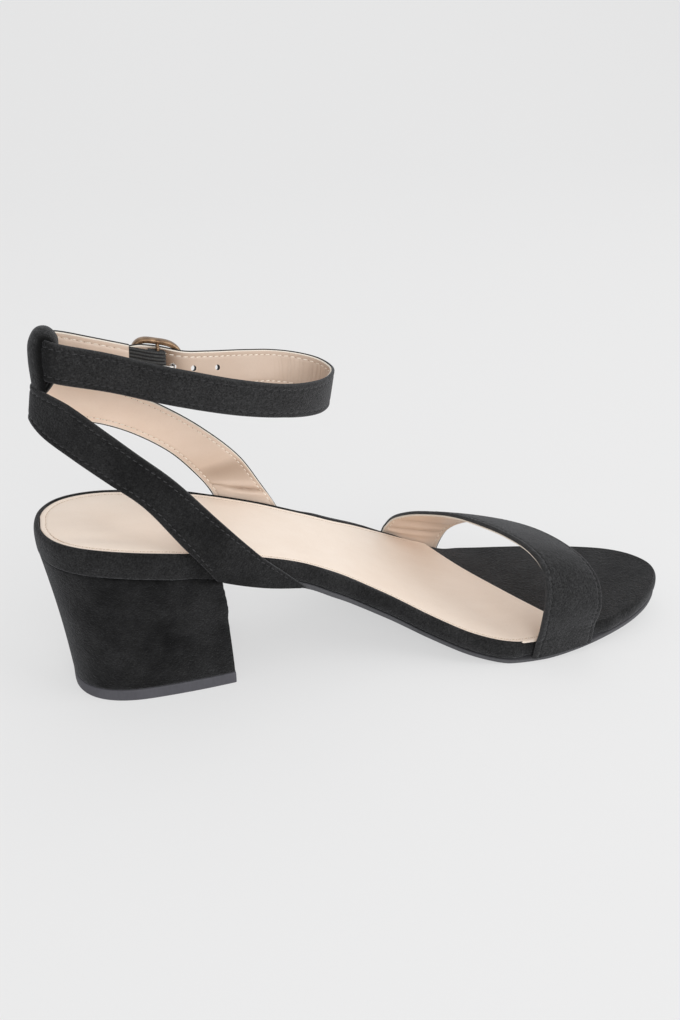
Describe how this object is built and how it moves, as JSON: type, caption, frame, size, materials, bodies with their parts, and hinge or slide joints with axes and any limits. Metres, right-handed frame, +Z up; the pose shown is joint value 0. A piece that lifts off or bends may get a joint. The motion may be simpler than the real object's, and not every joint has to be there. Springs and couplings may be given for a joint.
{
  "type": "block heel sandal",
  "caption": "Open-toe block heel sandal with a wide toe strap, a heel sling that ends in a loop, an ankle strap with a side buckle, a suede-wrapped footbed and a flared block heel.",
  "frame": {"origin": "on the floor, under the centre of the shoe's box", "axes": "+X towards the toe, +Y towards the outer side of the foot, +Z up"},
  "size_m": [0.2414, 0.0858, 0.1345],
  "materials": {
    "suede": "napped black suede",
    "sock_leather": "smooth beige lining leather",
    "outsole_rubber": "matte",
    "heel_tip_rubber": "matte",
    "elastic": "ribbed black elastic",
    "buckle_metal": "dark antique",
    "prong_metal": "satin"
  },
  "bodies": {
    "root": {"outsole": "outsole_rubber", "footbed": "suede", "insole_sock": "sock_leather", "heel_block": "suede", "heel_tip": "heel_tip_rubber", "toe_strap": "suede", "heel_sling": "suede", "ankle_strap": "suede", "elastic_loop": "elastic", "buckle_frame": "buckle_metal", "buckle_prong": "prong_metal"}
  },
  "joints": []
}
